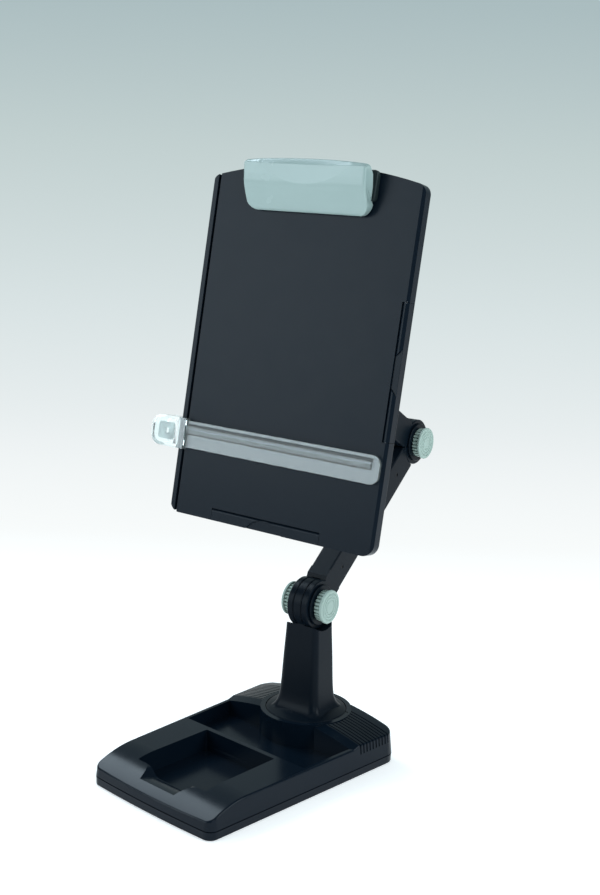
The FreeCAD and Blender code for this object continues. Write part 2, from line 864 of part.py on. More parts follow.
def fork_discs():
    """The two round ears at the origin."""
    return [
        bevelled_disc(drum_radius, -arm_half_width, -ear_inner, drum_chamfer),
        bevelled_disc(drum_radius, ear_inner, arm_half_width, drum_chamfer),
    ]


def fork_roots():
    """Flat roots that join the round ears to the arm."""
    return [
        box(-arm_half_width, -ear_inner, -arm_half_depth, arm_half_depth, 0, arm_root),
        box(ear_inner, arm_half_width, -arm_half_depth, arm_half_depth, 0, arm_root),
    ]


def shoulder_wedges(length):
    """Wedges that bevel the arm's shoulders at both ends, so that two arms can fold together."""
    reach = 2 * arm_half_depth
    along = reach / math.tan(math.radians(arm_shoulder_angle))
    wedge = polygon_face([
        Vector(-60, 0, 0),
        Vector(-60, reach, along),
        Vector(-60, reach, 0),
    ]).extrude(Vector(120, 0, 0))
    opposite = wedge.mirror(Vector(0, 0, 0), Vector(0, 1, 0))
    wedges = []
    for piece in (wedge, opposite):
        wedges.append(piece)
        wedges.append(moved(piece.mirror(Vector(0, 0, 0), Vector(0, 0, 1)), z=length))
    return wedges


def arm_shape(length):
    lug = moved(bevelled_disc(drum_radius, -lug_half_width, lug_half_width, drum_chamfer), z=length)
    neck = box(-lug_half_width, lug_half_width, -arm_half_depth, arm_half_depth, length - arm_root, length)
    slot = rod_x(box_clear_radius, -ear_inner, ear_inner)
    body = fuse([arm_outer(length), neck] + fork_roots())
    body = cut_each(body, shoulder_wedges(length))
    body = fuse([body] + fork_discs()).cut(slot)
    body = fuse([body, lug])
    bores = Part.makeCompound([
        rod_x(bolt_hole_radius, -60, 60),
        rod_x(bolt_hole_radius, -60, 60, 0, length),
    ])
    return body.cut(bores)


def arm_cavity(length, y1):
    half = arm_half_width - arm_wall
    return box(-half, half, -arm_half_depth + arm_wall, y1, arm_root + 2, length - arm_root - 2)


def arm_screw_heights(length):
    return (arm_screw_distance, length - arm_screw_distance)


def make_arm_body(length):
    body = arm_shape(length).cut(arm_cavity(length, arm_half_depth + 1))
    for z in arm_screw_heights(length):
        body = body.cut(rod_x(arm_screw_radius, 0, 60, 0, z))
        body = body.cut(rod_x(arm_screw_head_radius, arm_half_width - arm_screw_recess, 60, 0, z))
    return body


def make_arm_cover(length):
    half = arm_half_width - arm_wall - seat_gap
    z0 = arm_root + 2 + seat_gap
    z1 = length - z0
    lid = box(-half, half, arm_half_depth - arm_cover_thickness, arm_half_depth, z0, z1)
    posts = []
    for z in arm_screw_heights(length):
        low = z - arm_post_half_length
        high = z + arm_post_half_length
        posts.append(box(half - 7, half, -4, arm_half_depth - arm_cover_thickness, low, high))
    cover = fuse([lid] + posts)
    for z in arm_screw_heights(length):
        cover = cover.cut(rod_x(arm_screw_radius, 0, 60, 0, z))
    return cover


def make_arm_screws(length):
    screws = []
    for z in arm_screw_heights(length):
        head_seat = arm_half_width - arm_screw_recess
        screw = pan_screw(6.5, arm_screw_radius, arm_screw_head_radius, 0.8)
        screw = turned(screw, Vector(0, 1, 0), -90)
        screws.append(moved(screw, head_seat, 0, z))
    return Part.makeCompound(screws)


# ---- head bracket, in a frame with the pivot at the origin and the board in front ----

def make_head_bracket():
    plate = rod_y(turntable_radius, -plate_front, -plate_back)
    rims = [edge for edge in plate.Edges if edge.BoundBox.YMax > -plate_back - 0.01]
    plate = plate.makeFillet(1.0, [edge for edge in rims if edge.BoundBox.YMin > -plate_back - 0.01])
    ears = []
    for x0, x1 in ((-arm_half_width, -ear_inner), (ear_inner, arm_half_width)):
        ears.append(bevelled_disc(drum_radius, x0, x1, drum_chamfer))
        ears.append(box(x0, x1, -plate_back - 0.5, 0, -head_ear_half_height, head_ear_half_height))
    hub_front = plate_front + running_gap + board_back_wall + running_gap
    hub = rod_y(hub_radius, -hub_front, -plate_back)
    bracket = fuse([plate, hub] + ears)
    bracket = bracket.cut(rod_y(hub_screw_radius, -60, -plate_back - 0.6))
    return bracket.cut(rod_x(bolt_hole_radius, -60, 60))


def make_turntable_retainer():
    back = plate_front + running_gap + board_back_wall + running_gap
    ring = rod_y(hub_retainer_radius, -back - hub_retainer_thickness, -back)
    return ring.cut(rod_y(hub_screw_radius, -60, 0))


def make_turntable_screw():
    seat = plate_front + 2 * running_gap + board_back_wall + hub_retainer_thickness
    length = seat - plate_back - 1.0
    screw = pan_screw(length, hub_screw_radius, hub_screw_head_radius, hub_screw_head_height)
    return moved(turned(screw, Vector(1, 0, 0), -90), y=-seat)


# ---- board, in a frame with its face at y = 0, +Y to its back and +Z up its face ----

def board_plan(inset, y0, y1):
    """Slab of the board's outline, moved inwards by inset, between two depths."""
    bottom_left = Vector(-board_half_width, 0, -board_bottom)
    bottom_right = Vector(board_half_width, 0, -board_bottom)
    top_right = Vector(board_half_width, 0, board_shoulder)
    top_left = Vector(-board_half_width, 0, board_shoulder)
    edges = [
        Part.makeLine(bottom_left, bottom_right),
        Part.makeLine(bottom_right, top_right),
        Part.Arc(top_right, Vector(0, 0, board_crown), top_left).toShape(),
        Part.makeLine(top_left, bottom_left),
    ]
    slab = Part.Face(Part.Wire(edges)).extrude(Vector(0, 1, 0))
    slab = slab.makeFillet(board_bottom_corner, depth_edges(slab, False))
    slab = slab.makeFillet(board_top_corner, depth_edges(slab, True))
    face = [item for item in slab.Faces if item.CenterOfMass.y < 0.01][0]
    if inset > 0:
        face = face.makeOffset2D(-inset)
    return moved(face, y=y0).extrude(Vector(0, y1 - y0, 0))


def depth_edges(slab, top):
    """Sharp corner edges that run along Y, at the top or at the bottom of the board."""
    found = []
    for edge in slab.Edges:
        ends = [vertex.Point for vertex in edge.Vertexes]
        if len(ends) != 2 or abs(ends[0].y - ends[1].y) < 0.5:
            continue
        at_corner = abs(abs(ends[0].x) - board_half_width) < 0.01
        if at_corner and top and abs(ends[0].z - board_shoulder) < 0.01:
            found.append(edge)
        if at_corner and not top and abs(ends[0].z + board_bottom) < 0.01:
            found.append(edge)
    return found


def board_pocket(y0, y1, shrink):
    """Hollow behind the board's face, which the back cover closes."""
    half = board_half_width - board_side_wall - shrink
    low = -board_bottom + board_end_wall + shrink
    high = board_shoulder - board_top_wall - shrink
    return box(-half, half, y0, y1, low, high)


def board_screw_places():
    places = []
    for x in board_screw_columns:
        for z in board_screw_rows:
            places.append((x, z))
    return places


def ledge_gap_box(side):
    """Gap in the board's rim for a ledge: 'bottom' or 'side'."""
    half = ledge_length / 2 + running_gap
    if side == "bottom":
        deep = ledge_height + running_gap
        x0 = ledge_offset - half
        return box(x0, x0 + 2 * half, -1, board_thickness + 1, -board_bottom - 5, -board_bottom + deep)
    deep = side_ledge_height + running_gap
    z0 = side_ledge_offset - half
    return box(
        board_half_width - deep, board_half_width + 5, -1, side_ledge_depth + running_gap, z0, z0 + 2 * half,
    )


def edge_bevel(x, direction, width, depth):
    """Wedge that bevels the board's face edge at x, with direction pointing outwards."""
    low = -board_bottom - 5
    steps = 2.0
    wedge = polygon_face([
        Vector(x - direction * width, 0, low),
        Vector(x + direction * steps, depth * (width + steps) / width, low),
        Vector(x + direction * steps, -1, low),
        Vector(x - direction * width, -1, low),
    ])
    return wedge.extrude(Vector(0, 0, board_crown + 5 - low))


def guide_grooves():
    """Groove behind the left rail, and the bevels along both long edges of the face."""
    groove = box(-groove_outer, -groove_inner, -1, guide_groove_depth, -board_bottom - 5, board_crown + 5)
    return [
        groove,
        edge_bevel(-board_half_width, -1, rail_edge_chamfer, rail_edge_chamfer),
        edge_bevel(board_half_width, 1, right_bevel_width, right_bevel_depth),
    ]


def make_board_front():
    body = board_plan(0, 0, board_thickness)
    body = body.makeFillet(1.2, [edge for edge in body.Edges if edge.BoundBox.YMin > board_thickness - 0.01])
    body = cut_each(body, guide_grooves())
    body = body.cut(board_pocket(board_face_wall, board_thickness + 1, 0))
    posts = []
    for x, z in board_screw_places():
        post = rod_y(board_post_radius, board_face_wall - 0.5, board_thickness - board_back_wall, x, z)
        posts.append(post)
    body = fuse([body] + posts)
    for x, z in board_screw_places():
        body = body.cut(rod_y(board_screw_radius, board_face_wall, board_thickness, x, z))
    body = body.cut(ledge_gap_box("bottom")).cut(ledge_gap_box("side"))
    pin_hole = ledge_pin_radius
    reach = ledge_length / 2 + running_gap + ledge_pin_reach
    pivot_y, pivot_z = ledge_pivot_bottom()
    body = body.cut(rod_x(pin_hole, ledge_offset - reach, ledge_offset + reach, pivot_y, pivot_z))
    pivot_x, pivot_y = ledge_pivot_side()
    return body.cut(rod_z(pin_hole, side_ledge_offset - reach, side_ledge_offset + reach, pivot_x, pivot_y))


def make_board_back():
    cover = board_pocket(board_thickness - board_back_wall, board_thickness, seat_gap)
    cover = cover.cut(rod_y(hub_radius + pin_clearance, 0, board_thickness + 1, board_offset))
    for x, z in board_screw_places():
        cover = cover.cut(rod_y(board_screw_radius, 0, board_thickness + 1, x, z))
        cover = cover.cut(rod_y(board_screw_head_radius + 0.2, board_thickness - board_screw_head_height, 20, x, z))
    return cover


def make_board_screws():
    screws = []
    for x, z in board_screw_places():
        screw = pan_screw(5.5, board_screw_radius, board_screw_head_radius, board_screw_head_height)
        screw = turned(screw, Vector(1, 0, 0), 90)
        screws.append(moved(screw, x, board_thickness - board_screw_head_height, z))
    return Part.makeCompound(screws)


# ---- ledges: a shape with its hinge at the origin, placed in the rim of the board ----

def ledge_pivot_bottom():
    """(y, z) of the bottom ledge's hinge in the board's frame."""
    return ledge_barrel_radius, -board_bottom + ledge_height - ledge_barrel_radius


def ledge_pivot_side():
    """(x, y) of the side ledge's hinge in the board's frame."""
    return board_half_width - side_ledge_height + ledge_barrel_radius, ledge_barrel_radius


def ledge_shape(height, depth):
    """Ledge along X that hangs down from its hinge at the origin, with its face at -Y."""
    half = ledge_length / 2
    face_y = -ledge_barrel_radius
    back_y = depth - ledge_barrel_radius
    low = ledge_barrel_radius - height
    body = box(-half, half, face_y, back_y, low, 0)
    barrel = rod_x(ledge_barrel_radius, -half, half)
    rear = box(-half, half, 0, back_y, -0.5, ledge_barrel_radius - 1.0)
    body = fuse([body, barrel, rear])
    notch_sag = ledge_notch_radius - math.sqrt(ledge_notch_radius ** 2 - (ledge_notch_width / 2) ** 2)
    notch_z = low + notch_sag - ledge_notch_radius
    notch = rod_y(ledge_notch_radius, face_y - 1, face_y + ledge_notch_depth, 0, notch_z)
    body = body.cut(notch)
    return body.cut(rod_x(ledge_pin_radius + pin_clearance, -half - 1, half + 1))


def ledge_hollow():
    """Room inside the deep bottom ledge, open at its back."""
    half = ledge_length / 2 - ledge_wall
    low = ledge_barrel_radius - ledge_height + ledge_wall
    return box(-half, half, ledge_wall - ledge_barrel_radius, board_thickness, low, -ledge_barrel_radius)


def make_bottom_ledge():
    y, z = ledge_pivot_bottom()
    ledge = ledge_shape(ledge_height, board_thickness).cut(ledge_hollow())
    return moved(ledge, ledge_offset, y, z)


def make_side_ledge():
    x, y = ledge_pivot_side()
    upright = turned(ledge_shape(side_ledge_height, side_ledge_depth), Vector(0, 1, 0), -90)
    ledge = moved(upright, x, y, side_ledge_offset)
    return ledge.cut(edge_bevel(board_half_width, 1, right_bevel_width, right_bevel_depth))


def ledge_pin_length():
    return ledge_length + 2 * (running_gap + ledge_pin_reach)


def make_bottom_ledge_pin():
    y, z = ledge_pivot_bottom()
    half = ledge_pin_length() / 2
    return rod_x(ledge_pin_radius, ledge_offset - half, ledge_offset + half, y, z)


def make_side_ledge_pin():
    x, y = ledge_pivot_side()
    half = ledge_pin_length() / 2
    return rod_z(ledge_pin_radius, side_ledge_offset - half, side_ledge_offset + half, x, y)


# ---- clip, in the board's frame ----

def clip_section_wire(x):
    """Side section of the lever: jaw low at the face, thumb end high and forward."""
    jaw = clip_jaw_height
    pad_seat = running_gap + clip_pad_thickness
    front = [
        Vector(x, -3.2, jaw),
        Vector(x, -12.5, jaw + 6),
        Vector(x, -22.5, jaw + 18.5),
        Vector(x, -27.6, jaw + 34),
        Vector(x, -clip_reach, jaw + clip_edge_rise),
    ]
    back = [
        Vector(x, -23.0, jaw + clip_height),
        Vector(x, -15.0, jaw + 39),
        Vector(x, -9.5, jaw + 28),
        Vector(x, -6.4, jaw + 17),
        Vector(x, -pad_seat, jaw + 8.5),
    ]
    heel = Vector(x, -pad_seat, jaw + 1.0)
    front_curve = Part.BSplineCurve()
    front_curve.interpolate(front)
    top_curve = Part.Arc(front[-1], Vector(x, -27.0, jaw + clip_height - 0.4), back[0]).toShape()
    back_curve = Part.BSplineCurve()
    back_curve.interpolate(back)
    seat = Part.makeLine(back[-1], heel)
    nose = Part.makeLine(heel, front[0])
    return Part.Wire([front_curve.toShape(), top_curve, back_curve.toShape(), seat, nose])


def make_clip_lever():
    blank = Part.Face(clip_section_wire(-clip_half_width)).extrude(Vector(2 * clip_half_width, 0, 0))
    half = clip_half_width
    low = clip_jaw_height - 1
    high = clip_jaw_height + clip_height
    outline = Part.Wire([
        Part.makeLine(Vector(-half, -60, high - clip_crown), Vector(-half, -60, low)),
        Part.makeLine(Vector(-half, -60, low), Vector(half, -60, low)),
        Part.makeLine(Vector(half, -60, low), Vector(half, -60, high - clip_crown)),
        Part.Arc(
            Vector(half, -60, high - clip_crown),
            Vector(0, -60, high),
            Vector(-half, -60, high - clip_crown),
        ).toShape(),
    ])
    front_view = Part.Face(outline).extrude(Vector(0, 80, 0))
    lower_corners = []
    upper_corners = []
    for edge in front_view.Edges:
        ends = [vertex.Point for vertex in edge.Vertexes]
        if len(ends) != 2 or abs(ends[0].y - ends[1].y) < 1:
            continue
        if ends[0].z < low + 1:
            lower_corners.append(edge)
    front_view = front_view.makeFillet(clip_corner_radius, lower_corners)
    for edge in front_view.Edges:
        ends = [vertex.Point for vertex in edge.Vertexes]
        if len(ends) != 2 or abs(ends[0].y - ends[1].y) < 1:
            continue
        if abs(ends[0].z - (high - clip_crown)) < 0.1:
            upper_corners.append(edge)
    front_view = front_view.makeFillet(3.0, upper_corners)
    lever = blank.common(front_view)
    sharp = [edge for edge in lever.Edges if is_side_edge(edge)]
    lever = lever.makeFillet(1.3, sharp)
    dish_centre = clip_dish_low + clip_dish_radius
    dish = rod_y(clip_dish_radius, -60, 0, 0, dish_centre)
    skin = lever.cut(moved(lever, y=clip_dish_depth))
    front_side = box(-60, 60, -60, -22, low - 25, high + 25)
    lever = lever.cut(skin.common(dish).common(front_side))
    lever = lever.cut(clip_back_hollow())
    return fuse([lever, clip_barrel()]).cut(clip_pin_hole())


def is_side_edge(edge):
    """Long curved edges at the lever's two flat ends."""
    box_of_edge = edge.BoundBox
    at_left = abs(box_of_edge.XMax + clip_half_width) < 0.01
    at_right = abs(box_of_edge.XMin - clip_half_width) < 0.01
    return (at_left or at_right) and box_of_edge.ZMax - box_of_edge.ZMin > 8


def clip_barrel():
    """Hinge barrels on the lever, between the base's lugs."""
    radius = clip_pin_radius + 2.2
    barrels = []
    for left, right in zip(clip_lug_positions[:-1:2], clip_lug_positions[1::2]):
        x0 = left + clip_lug_thickness / 2 + running_gap
        x1 = right - clip_lug_thickness / 2 - running_gap
        third = (x1 - x0) / 3
        for start in (x0, x1 - third):
            barrel = rod_x(radius, start, start + third, -clip_pivot_distance, clip_pivot_height)
            web = box(
                start, start + third, -clip_pivot_distance - 9, -clip_pivot_distance,
                clip_pivot_height - radius, clip_pivot_height + radius,
            )
            barrels.append(fuse([barrel, web]))
    return fuse(barrels)


def clip_back_hollow():
    """Hollow in the back of the lever that clears the base, its lugs and the springs."""
    reach = clip_base_half_width - 9
    return box(
        -reach, reach, -clip_pivot_distance - 6.5, 0,
        clip_pivot_height - 9, clip_pivot_height + 10,
    )


def clip_pin_hole():
    return rod_x(clip_pin_radius + pin_clearance, -60, 60, -clip_pivot_distance, clip_pivot_height)


def make_clip_base():
    block = box(-clip_base_half_width, clip_base_half_width, -clip_base_depth, 0, clip_base_low, clip_base_high)
    corners = []
    for edge in block.Edges:
        ends = [vertex.Point for vertex in edge.Vertexes]
        if abs(ends[0].y - ends[1].y) > 1:
            corners.append(edge)
    block = block.makeFillet(4.0, corners)
    front_rim = [edge for edge in block.Edges if edge.BoundBox.YMax < -clip_base_depth + 0.01]
    block = block.makeFillet(1.2, front_rim)
    radius = clip_pin_radius + 2.4
    lugs = []
    for x in clip_lug_positions:
        x0 = x - clip_lug_thickness / 2
        x1 = x + clip_lug_thickness / 2
        lugs.append(rod_x(radius, x0, x1, -clip_pivot_distance, clip_pivot_height))
        lugs.append(box(
            x0, x1, -clip_pivot_distance, -clip_base_depth + 1,
            clip_pivot_height - radius, clip_pivot_height + radius,
        ))
    base = fuse([block] + lugs)
    return base.cut(rod_x(clip_pin_radius, -60, 60, -clip_pivot_distance, clip_pivot_height))


def make_clip_pin():
    return rod_x(clip_pin_radius, -clip_pin_half_length, clip_pin_half_length, -clip_pivot_distance, clip_pivot_height)


def make_clip_springs():
    """Two torsion springs round the pin, each drawn as stacked rings with two straight legs."""
    springs = []
    for left, right in zip(clip_lug_positions[:-1:2], clip_lug_positions[1::2]):
        middle = (left + right) / 2
        pitch = 2 * spring_wire_radius - 0.05
        start = middle - pitch * (spring_turns - 1) / 2
        parts = []
        for turn in range(spring_turns):
            ring = Part.makeTorus(
                spring_coil_radius, spring_wire_radius,
                Vector(start + pitch * turn, -clip_pivot_distance, clip_pivot_height), Vector(1, 0, 0),
            )
            parts.append(ring)
        last = start + pitch * (spring_turns - 1)
        bottom = clip_pivot_height - 8
        leg_y = -clip_pivot_distance + spring_coil_radius
        parts.append(rod_z(spring_wire_radius, bottom, clip_pivot_height, last, leg_y))
        parts.append(rod_z(spring_wire_radius, clip_pivot_height, clip_pivot_height + 8, start, leg_y))
        springs.append(fuse(parts))
    return Part.makeCompound(springs)


def make_clip_pads():
    """Rubber strip under the jaw, resting on the board's face."""
    half = clip_half_width - clip_corner_radius - 2
    return box(-half, half, -running_gap - clip_pad_thickness, -running_gap, clip_jaw_height + 1.5, clip_jaw_height + 7.5)


# ---- line guide, in the board's frame ----

def make_guide_bar():
    """Clear bar with a cylindrical lens along its middle."""
    left = -board_half_width + rail_width + guide_groove_width + 2
    y0 = -guide_stand_off - guide_thickness
    z = guide_rest_height
    bar = box(left, guide_right_end, y0, -guide_stand_off, z - guide_half_height, z + guide_half_height)
    ends = []
    for edge in bar.Edges:
        points = [vertex.Point for vertex in edge.Vertexes]
        if abs(points[0].y - points[1].y) > 1 and points[0].x > 0:
            ends.append(edge)
    bar = bar.makeFillet(guide_end_radius, ends)
    lens_low = z + guide_lens_offset - guide_lens_half_height
    lens_high = z + guide_lens_offset + guide_lens_half_height
    crown = Part.Arc(
        Vector(left, y0, lens_low),
        Vector(left, y0 - guide_lens_rise, z + guide_lens_offset),
        Vector(left, y0, lens_high),
    ).toShape()
    base_line = Part.makeLine(Vector(left, y0, lens_high), Vector(left, y0, lens_low))
    lens = Part.Face(Part.Wire([crown, base_line])).extrude(Vector(guide_right_end - left - guide_end_radius, 0, 0))
    return fuse([bar, lens])


def make_guide_grip():
    """Clear D-shaped grip that hooks round the left rail of the board and slides along it."""
    z = guide_rest_height
    right = -board_half_width + rail_width + guide_groove_width + 2
    left = -grip_left_end
    back = board_thickness + running_gap + grip_wall
    body = box(left, right, -grip_front, back, z - grip_half_height, z + grip_half_height)
    body = body.makeFillet(grip_end_radius, left_depth_edges(body, left))
    rail_space = box(
        -board_half_width - running_gap, right + 1, -running_gap, board_thickness + running_gap,
        z - 30, z + 30,
    )
    body = body.cut(rail_space)
    back_cut = box(-board_half_width + grip_back_reach, right + 1, board_thickness, back + 1, z - 30, z + 30)
    body = body.cut(back_cut)
    body = body.cut(grip_hollow(left + grip_wall, back))
    tongue = box(
        -groove_outer + running_gap, -groove_inner - running_gap,
        -running_gap - 0.5, guide_groove_depth - running_gap - 1.0,
        z - grip_half_height, z + grip_half_height,
    )
    body = fuse([body, tongue])
    return body.cut(bar_seat())


def grip_hollow(left, back):
    """Room inside the grip for the brake, open at the back and rounded like the outside."""
    half = grip_half_height - grip_wall
    right = -board_half_width - running_gap - grip_wall
    z = guide_rest_height
    hollow = box(left, right, -grip_front + grip_wall, back + 1, z - half, z + half)
    return hollow.makeFillet(grip_end_radius - grip_wall, left_depth_edges(hollow, left))


def left_depth_edges(shape, left):
    """Edges along Y on the face at x = left."""
    found = []
    for edge in shape.Edges:
        points = [vertex.Point for vertex in edge.Vertexes]
        if abs(points[0].y - points[1].y) > 1 and points[0].x < left + 0.1:
            found.append(edge)
    return found


def bar_seat():
    """Room in the grip for the end of the bar."""
    z = guide_rest_height
    left = -board_half_width + rail_width + guide_groove_width + 2
    y0 = -guide_stand_off - guide_thickness - guide_lens_rise
    return box(left, left + 10, y0, -guide_stand_off, z - guide_half_height, z + guide_half_height)


def make_guide_brake():
    """Spring block inside the grip that presses on the edge of the rail."""
    z = guide_rest_height
    right = -board_half_width - running_gap - grip_wall
    y0 = -grip_front + grip_wall
    block = box(right - brake_length, right, y0, y0 + brake_thickness, z - brake_half_height, z + brake_half_height)
    edges = []
    for edge in block.Edges:
        points = [vertex.Point for vertex in edge.Vertexes]
        if abs(points[0].y - points[1].y) > 1:
            edges.append(edge)
    block = block.makeFillet(2.0, edges)
    slot = box(right - brake_length + 7, right - 7, y0 - 1, y0 + brake_thickness + 1, z - 2.5, z + 2.5)
    return block.cut(slot)


# ---- placing the bodies at rest ----

def swivel_place():
    return Placement(Vector(0, 0, 0), Rotation(Vector(0, 0, 1), swivel_yaw))


def lower_pivot_place():
    tilt = Placement(Vector(0, 0, knuckle_height), Rotation(Vector(1, 0, 0), -lower_arm_lean))
    return swivel_place().multiply(tilt)


def upper_pivot_place():
    along = Placement(Vector(0, 0, lower_arm_length), Rotation())
    back_to_level = Rotation(Vector(1, 0, 0), lower_arm_lean + 90 - upper_arm_rise)
    fold = Placement(Vector(0, 0, 0), back_to_level)
    flip = Placement(Vector(0, 0, 0), Rotation(Vector(0, 0, 1), 180))
    return lower_pivot_place().multiply(along).multiply(fold).multiply(flip)


def head_place():
    along = Placement(Vector(0, 0, upper_arm_length), Rotation())
    flip = Placement(Vector(0, 0, 0), Rotation(Vector(0, 0, 1), 180))
    level = Placement(Vector(0, 0, 0), Rotation(Vector(1, 0, 0), upper_arm_rise - 90 - board_tilt))
    return upper_pivot_place().multiply(along).multiply(flip).multiply(level)


def board_place():
    forward = Placement(Vector(0, -pivot_behind_face, 0), Rotation())
    roll = Placement(Vector(0, 0, 0), Rotation(Vector(0, 1, 0), board_roll))
    sideways = Placement(Vector(-board_offset, 0, 0), Rotation())
    return head_place().multiply(forward).multiply(roll).multiply(sideways)


def save(name, shape, place):
    placed = shape.copy()
    placed.Placement = place.multiply(placed.Placement)
    placed.exportStep(os.path.join("parts", name + ".step"))


def save_knuckle(prefix, place):
    """Bolt, nut, friction caps and two knobs of one pivot."""
    knob = make_knob()
    cap = make_friction_cap()
    save(prefix + "_knob_right", knob, place)
    save(prefix + "_knob_left", mirrored_side(knob), place)
    save(prefix + "_clamp_bolt", make_clamp_bolt(), place)
    save(prefix + "_clamp_nut", make_knob_nut(), place)
    save(prefix + "_friction_caps", Part.makeCompound([cap, mirrored_side(cap)]), place)


def save_arm(prefix, length, place):
    save(prefix + "_arm_body", make_arm_body(length), place)
    save(prefix + "_arm_cover", make_arm_cover(length), place)
    save(prefix + "_arm_screws", make_arm_screws(length), place)


def main():
    os.makedirs("parts", exist_ok=True)
    fixed = Placement()
    save("base_top_shell", make_base_top_shell(), fixed)
    save("base_bottom_shell", make_base_bottom_shell(), fixed)
    save("base_screws", make_base_screws(), fixed)
    save("ballast_plate", make_ballast_plate(), fixed)
    save("ballast_screws", make_ballast_screws(), fixed)
    save("rubber_feet", make_rubber_feet(), fixed)
    save("pivot_cover_pad", make_pivot_cover_pad(), fixed)
    save("swivel_slip_ring", make_slip_ring(), fixed)
    swivel = swivel_place()
    save("swivel_column", make_swivel_column(), swivel)
    save("swivel_retainer", make_swivel_retainer(), swivel)
    save("swivel_screw", make_swivel_screw(), swivel)
    save_arm("lower", lower_arm_length, lower_pivot_place())
    save_arm("upper", upper_arm_length, upper_pivot_place())
    save_knuckle("lower", lower_pivot_place())
    upright_upper = Placement(upper_pivot_place().Base, swivel.Rotation)
    save_knuckle("middle", upright_upper)
    save_knuckle("head", head_place())
    save("head_bracket", make_head_bracket(), head_place())
    save("turntable_retainer", make_turntable_retainer(), head_place())
    save("turntable_screw", make_turntable_screw(), head_place())
    board = board_place()
    save("board_front", make_board_front(), board)
    save("board_back", make_board_back(), board)
    save("board_screws", make_board_screws(), board)
    save("bottom_ledge", make_bottom_ledge(), board)
    save("bottom_ledge_pin", make_bottom_ledge_pin(), board)
    save("side_ledge", make_side_ledge(), board)
    save("side_ledge_pin", make_side_ledge_pin(), board)
    save("clip_lever", make_clip_lever(), board)
    save("clip_base", make_clip_base(), board)
    save("clip_pin", make_clip_pin(), board)
    save("clip_springs", make_clip_springs(), board)
    save("clip_pad", make_clip_pads(), board)
    save("guide_bar", make_guide_bar(), board)
    save("guide_grip", make_guide_grip(), board)
    save("guide_brake", make_guide_brake(), board)


main()
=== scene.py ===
import json
import math

import bmesh
import bpy
from mathutils import Matrix, Vector


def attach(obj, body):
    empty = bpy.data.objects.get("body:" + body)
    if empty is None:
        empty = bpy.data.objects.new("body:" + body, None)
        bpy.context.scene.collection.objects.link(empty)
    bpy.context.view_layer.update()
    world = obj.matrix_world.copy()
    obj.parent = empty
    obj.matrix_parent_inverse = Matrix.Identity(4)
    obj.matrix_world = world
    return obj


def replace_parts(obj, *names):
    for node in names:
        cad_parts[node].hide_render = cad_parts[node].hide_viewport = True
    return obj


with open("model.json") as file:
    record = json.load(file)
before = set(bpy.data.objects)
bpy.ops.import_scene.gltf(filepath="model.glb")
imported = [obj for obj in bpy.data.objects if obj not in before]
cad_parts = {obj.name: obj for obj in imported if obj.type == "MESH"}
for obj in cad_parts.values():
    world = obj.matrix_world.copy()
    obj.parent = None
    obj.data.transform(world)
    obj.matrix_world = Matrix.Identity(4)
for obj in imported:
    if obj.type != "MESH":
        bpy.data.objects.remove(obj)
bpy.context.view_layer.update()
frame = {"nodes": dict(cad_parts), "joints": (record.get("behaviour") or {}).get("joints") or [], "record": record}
nodes = frame["nodes"]
scene = bpy.context.scene


# ---- shader building ----

class Value:
    """A number in a shader; Python arithmetic on it adds Math nodes."""

    def __init__(self, finish, socket):
        self.finish = finish
        self.socket = socket

    def math(self, operation, first, second):
        node = self.finish.node(
            "ShaderNodeMath", {"operation": operation}, {0: first, 1: second})
        return Value(self.finish, node.outputs[0])

    def __add__(self, other):
        return self.math("ADD", self, other)

    def __radd__(self, other):
        return self.math("ADD", other, self)

    def __sub__(self, other):
        return self.math("SUBTRACT", self, other)

    def __mul__(self, other):
        return self.math("MULTIPLY", self, other)

    def __rmul__(self, other):
        return self.math("MULTIPLY", other, self)


class Finish:
    """A material under construction, with one Principled shader."""

    def __init__(self, name):
        self.material = bpy.data.materials.new(name)
        self.material.use_nodes = True
        self.tree = self.material.node_tree
        self.shader = self.tree.nodes["Principled BSDF"]

    def feed(self, socket, value):
        """Link a shader value to a socket, or write a constant into it."""
        if isinstance(value, Value):
            value = value.socket
        if isinstance(value, bpy.types.NodeSocket):
            self.tree.links.new(value, socket)
        else:
            socket.default_value = value

    def node(self, kind, settings, inputs):
        """New shader node; a setting named stops fills its colour ramp."""
        made = self.tree.nodes.new(kind)
        for name, value in settings.items():
            if name == "stops":
                ramp = made.color_ramp.elements
                for index, (place, colour) in enumerate(value):
                    stop = ramp[index] if index < 2 else ramp.new(place)
                    stop.position = place
                    stop.color = colour
            else:
                setattr(made, name, value)
        for name, value in inputs.items():
            self.feed(made.inputs[name], value)
        return made

    def place(self):
        """Position on the object at rest, in metres."""
        return self.node("ShaderNodeTexCoord", {}, {}).outputs["Object"]

    def noise(self, scale, detail, stretch=None):
        """Noise between 0 and 1 over the surface; scale is in cells per metre."""
        vector = self.place()
        if stretch is not None:
            mapped = self.node("ShaderNodeMapping", {}, {"Vector": vector, "Scale": stretch})
            vector = mapped.outputs[0]
        made = self.node(
            "ShaderNodeTexNoise", {}, {"Vector": vector, "Scale": scale, "Detail": detail})
        return Value(self, made.outputs[0])

    def blend(self, factor, first, second):
        """Colour between two others, by the Mix node's sockets for factor and colours."""
        made = self.node(
            "ShaderNodeMix", {"data_type": "RGBA"}, {0: factor, 6: first, 7: second})
        return made.outputs[2]

    def bump(self, height, distance, strength, below=None):
        """Surface normal of a relief; distance is in metres."""
        inputs = {"Height": height, "Distance": distance, "Strength": strength}
        if below is not None:
            inputs["Normal"] = below
        return self.node("ShaderNodeBump", {}, inputs).outputs[0]

    def set(self, **inputs):
        """Feed the Principled shader's sockets and return the material."""
        for name, value in inputs.items():
            self.feed(self.shader.inputs[name.replace("_", " ")], value)
        return self.material


def rgba(red, green, blue):
    return (red, green, blue, 1.0)


